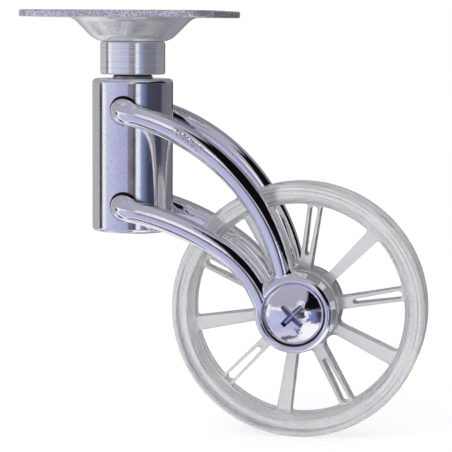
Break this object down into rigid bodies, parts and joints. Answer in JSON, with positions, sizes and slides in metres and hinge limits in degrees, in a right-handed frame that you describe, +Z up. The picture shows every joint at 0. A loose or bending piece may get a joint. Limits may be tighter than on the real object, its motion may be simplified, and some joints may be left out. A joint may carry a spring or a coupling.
{
  "type": "swivel castor",
  "caption": "Swivel plate castor: square dished top plate, turned collar and barrel, curved chromed rod arms and a clear spoked wheel on a domed axle screw.",
  "frame": {"origin": "centre of the top plate's upper face, on the swivel axis", "axes": "+Z up, against the furniture; +X the trailing direction from the swivel axis to the wheel at rest; Y along the axle"},
  "size_m": [0.117, 0.057, 0.1248],
  "materials": {
    "zinc_plate": "dull zinc plating, slightly grainy",
    "turned_steel": "fine turned lines, bright",
    "pin_steel": "satin steel",
    "black_nylon": "matt",
    "chrome_barrel": "polished chrome plating with faint turning marks",
    "bush_metal": "bright turned metal",
    "chrome_arm": "mirror chrome plating, a few small pits",
    "chrome_screw": "mirror chrome plating",
    "clear_wheel": "frosted translucent plastic",
    "bush_plastic": "clear plastic"
  },
  "bodies": {
    "plate": {"top_plate": "zinc_plate", "collar": "turned_steel", "kingpin": "pin_steel", "thrust_washer": "black_nylon", "retaining_washer": "pin_steel", "retaining_screw": "pin_steel"},
    "fork": {"barrel": "chrome_barrel", "upper_bush": "bush_metal", "lower_bush": "bush_metal", "right_arm": "chrome_arm", "left_arm": "chrome_arm", "axle_sleeve": "pin_steel", "right_axle_screw": "chrome_screw", "left_axle_screw": "chrome_screw", "right_spacer": "bush_metal", "left_spacer": "bush_metal"},
    "wheel": {"wheel": "clear_wheel", "right_hub_bush": "bush_plastic", "left_hub_bush": "bush_plastic"}
  },
  "joints": [
    {"name": "swivel", "type": "hinge", "parent": "plate", "child": "fork", "pos_m": [0, 0, -0.03], "axis": [0, 0, 1], "continuous": true},
    {"name": "wheel_spin", "type": "hinge", "parent": "fork", "child": "wheel", "pos_m": [0.051, 0, -0.08733], "axis": [0, 1, 0], "continuous": true}
  ]
}
